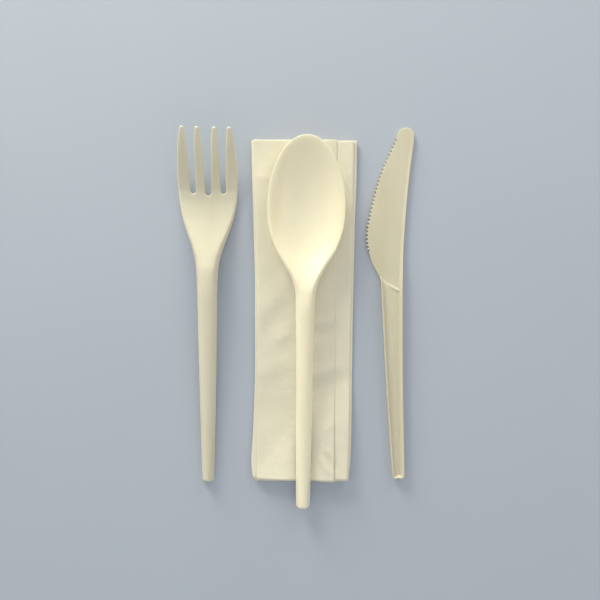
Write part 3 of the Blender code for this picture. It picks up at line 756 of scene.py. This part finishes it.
def plastic(name, base, seed, grain=0.0):
    """Ivory moulded plastic: soft gloss, faint cloudiness along the flow, fine texture, and a painted highlight
    along edges and side walls.
    """
    m = Nodes(name)
    along = m.coordinates((1.0, 0.22, 1.0), math.radians(seed))
    where = m.coordinates((1.0, 1.0, 1.0), math.radians(17 + seed))
    cloud = m.noise(along, 70.0 + seed, 4.0, 0.55, 0.6)
    light = tuple(min(c * 1.035, 1.0) for c in base[:3]) + (1.0,)
    dark = (base[0] * 0.955, base[1] * 0.945, base[2] * 0.90, 1.0)
    colour = m.ramp(cloud, "Fac", [(0.30, dark), (0.52, base), (0.75, light)])
    speck = m.noise(where, 1500.0, 2.0, 0.6)
    speckle = m.to_range(speck, "Fac", 0.0, 0.30, 0.62, 0.78)
    tinted = m.mix((speckle, "Result"), (colour, "Color"),
                   (base[0] * 0.90, base[1] * 0.87, base[2] * 0.78, 1.0))
    # painted highlight: edges and side walls are made lighter and bluer, standing in for light caught there
    edge = m.add("ShaderNodeAttribute", attribute_name="edge")
    painted_edge_highlight = m.to_range(edge, "Fac", 0.0, 0.20, 0.35, 1.0)
    final = m.mix((painted_edge_highlight, "Result"), (tinted, 2),
                  (min(base[0] * 1.05, 1.0), min(base[1] * 1.05, 1.0), min(base[2] * 1.09, 1.0), 1.0))
    m.link(final, 2, m.shader, "Base Color")
    mottle = m.noise(where, 260.0, 5.0, 0.6)
    rough = m.to_range(mottle, "Fac", 0.34, 0.47)
    m.link(rough, "Result", m.shader, "Roughness")
    fine = m.noise(where, 3200.0, 2.0, 0.5)
    skin = m.bump(fine, "Fac", 0.10, 0.00006)
    flow = m.noise(along, 420.0, 2.0, 0.5, 0.3)
    waves = m.bump(flow, "Fac", 0.12, 0.00025, skin)
    broad = m.noise(along, 95.0, 2.0, 0.4)
    sink = m.bump(broad, "Fac", 0.10, 0.0011, waves)
    m.link(sink, "Normal", m.shader, "Normal")
    m.shader.inputs["IOR"].default_value = 1.5
    m.shader.inputs["Specular IOR Level"].default_value = 0.5
    m.shader.inputs["Subsurface Weight"].default_value = 0.25
    m.shader.inputs["Subsurface Radius"].default_value = (1.0, 0.85, 0.6)
    m.shader.inputs["Subsurface Scale"].default_value = 0.002
    return m.mat


def tissue(name, base):
    """Soft white tissue: crepe lines across it, fibres, faint mottling."""
    m = Nodes(name)
    where = m.coordinates((1.0, 1.0, 1.0), math.radians(8))
    crepe_at = m.coordinates((1.0, 4.5, 1.0), 0.0)
    fibre_at = m.coordinates((1.0, 0.12, 1.0), math.radians(34))
    cloud = m.noise(where, 60.0, 4.0, 0.6)
    cool = (base[0] * 0.965, base[1] * 0.965, base[2] * 0.955, 1.0)
    colour = m.ramp(cloud, "Fac", [(0.3, cool), (0.6, base)])
    fibre = m.noise(fibre_at, 1500.0, 3.0, 0.6, 0.4)
    strands = m.to_range(fibre, "Fac", 0.0, 0.35, 0.60, 0.78)
    final = m.mix((strands, "Result"), (colour, "Color"),
                  (base[0] * 0.90, base[1] * 0.89, base[2] * 0.85, 1.0))
    m.link(final, 2, m.shader, "Base Color")
    dry = m.to_range(cloud, "Fac", 0.86, 0.97)
    m.link(dry, "Result", m.shader, "Roughness")
    crepe = m.noise(crepe_at, 620.0, 3.0, 0.55, 0.25)
    first = m.bump(crepe, "Fac", 0.45, 0.00022)
    second = m.bump(fibre, "Fac", 0.25, 0.00012, first)
    soft = m.noise(where, 240.0, 3.0, 0.5)
    third = m.bump(soft, "Fac", 0.30, 0.0007, second)
    m.link(third, "Normal", m.shader, "Normal")
    m.shader.inputs["Specular IOR Level"].default_value = 0.2
    m.shader.inputs["Sheen Weight"].default_value = 0.12
    m.shader.inputs["Sheen Roughness"].default_value = 0.6
    m.shader.inputs["Subsurface Weight"].default_value = 0.10
    m.shader.inputs["Subsurface Radius"].default_value = (1.0, 0.95, 0.85)
    m.shader.inputs["Subsurface Scale"].default_value = 0.0008
    return m.mat


def table_top(name, base):
    """Pale matt table."""
    m = Nodes(name)
    where = m.coordinates()
    cloud = m.noise(where, 9.0, 4.0, 0.6)
    low = tuple(c * 0.975 for c in base[:3]) + (1.0,)
    colour = m.ramp(cloud, "Fac", [(0.3, low), (0.7, base)])
    m.link(colour, "Color", m.shader, "Base Color")
    grain = m.noise(where, 900.0, 3.0, 0.6)
    rough = m.to_range(grain, "Fac", 0.72, 0.85)
    m.link(rough, "Result", m.shader, "Roughness")
    m.link(m.bump(grain, "Fac", 0.08, 0.0002), "Normal", m.shader, "Normal")
    return m.mat


# ---------------------------------------------------------------- stage
def area_light(name, location, aim, size, power, colour):
    data = bpy.data.lights.new(name, "AREA")
    data.shape = "RECTANGLE"
    data.size, data.size_y = size
    data.energy = power
    data.color = colour
    ob = bpy.data.objects.new(name, data)
    ob.location = location
    ob.rotation_euler = (Vector(aim) - Vector(location)).to_track_quat("-Z", "Y").to_euler()
    bpy.context.scene.collection.objects.link(ob)
    return ob


def make_stage():
    reach = 1.6
    mesh = bpy.data.meshes.new("floor")
    count = 24
    verts = [((-1 + 2 * i / count) * reach, (-1 + 2 * j / count) * reach, 0.0)
             for j in range(count + 1) for i in range(count + 1)]
    faces = [(j * (count + 1) + i, j * (count + 1) + i + 1, (j + 1) * (count + 1) + i + 1,
              (j + 1) * (count + 1) + i) for j in range(count) for i in range(count)]
    mesh.from_pydata(verts, [], faces)
    floor = bpy.data.objects.new("floor", mesh)
    bpy.context.scene.collection.objects.link(floor)
    floor.data.materials.append(table_top("floor_pale", srgb(179, 188, 202)))

    world = bpy.data.worlds.new("studio")
    world.use_nodes = True
    world.node_tree.nodes["Background"].inputs["Color"].default_value = (1.0, 0.988, 0.955, 1.0)
    world.node_tree.nodes["Background"].inputs["Strength"].default_value = 0.615
    bpy.context.scene.world = world
    area_light("key", (-0.347, 0.745, 0.222), (0.0, 0.02, 0.0), (0.35, 0.35), 7.7,
               (1.0, 0.958, 0.81))
    area_light("fill", (0.34, 0.72, 0.29), (0.0, 0.02, 0.0), (0.35, 0.35), 1.6,
               (1.0, 0.97, 0.88))
    area_light("low", (0.03, -0.42, 0.28), (0.0, -0.07, 0.0), (0.30, 0.30), 0.14,
               (0.78, 0.89, 1.0))

    data = bpy.data.cameras.new("view")
    data.lens = 39.0
    data.sensor_width = 36.0
    data.clip_start = 0.01
    data.clip_end = 20.0
    camera = bpy.data.objects.new("view", data)
    camera.location = (SET_X * MM, (126.0 + SET_Y) * MM, 0.2953)
    camera.rotation_euler = (math.radians(-7.5), 0.0, 0.0)
    bpy.context.scene.collection.objects.link(camera)
    bpy.context.scene.camera = camera
    bpy.context.scene.view_settings.view_transform = "Standard"


# ---------------------------------------------------------------- the set
make_stage()
fork, spoon, knife, napkin = make_fork(), make_spoon(), make_knife(), make_napkin()
# one ivory plastic in three brightnesses: the fork and knife get darker copies as painted shade, the spoon a
# lighter copy as painted light
fork.data.materials.append(plastic("plastic_fork_painted_shade", srgb(217, 213, 192), 3))
spoon.data.materials.append(plastic("plastic_spoon_painted_light", srgb(244, 237, 211), 8))
knife.data.materials.append(plastic("plastic_knife_painted_shade", srgb(211, 206, 184), 14))
napkin.data.materials.append(tissue("tissue_paper", srgb(233, 228, 207)))
for piece, node, slot in ((fork, "fork", "cutlery_plastic"), (spoon, "spoon", "cutlery_plastic"),
                          (knife, "knife", "cutlery_plastic"), (napkin, "napkin", "napkin_tissue")):
    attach(piece, "root")
    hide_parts(node)
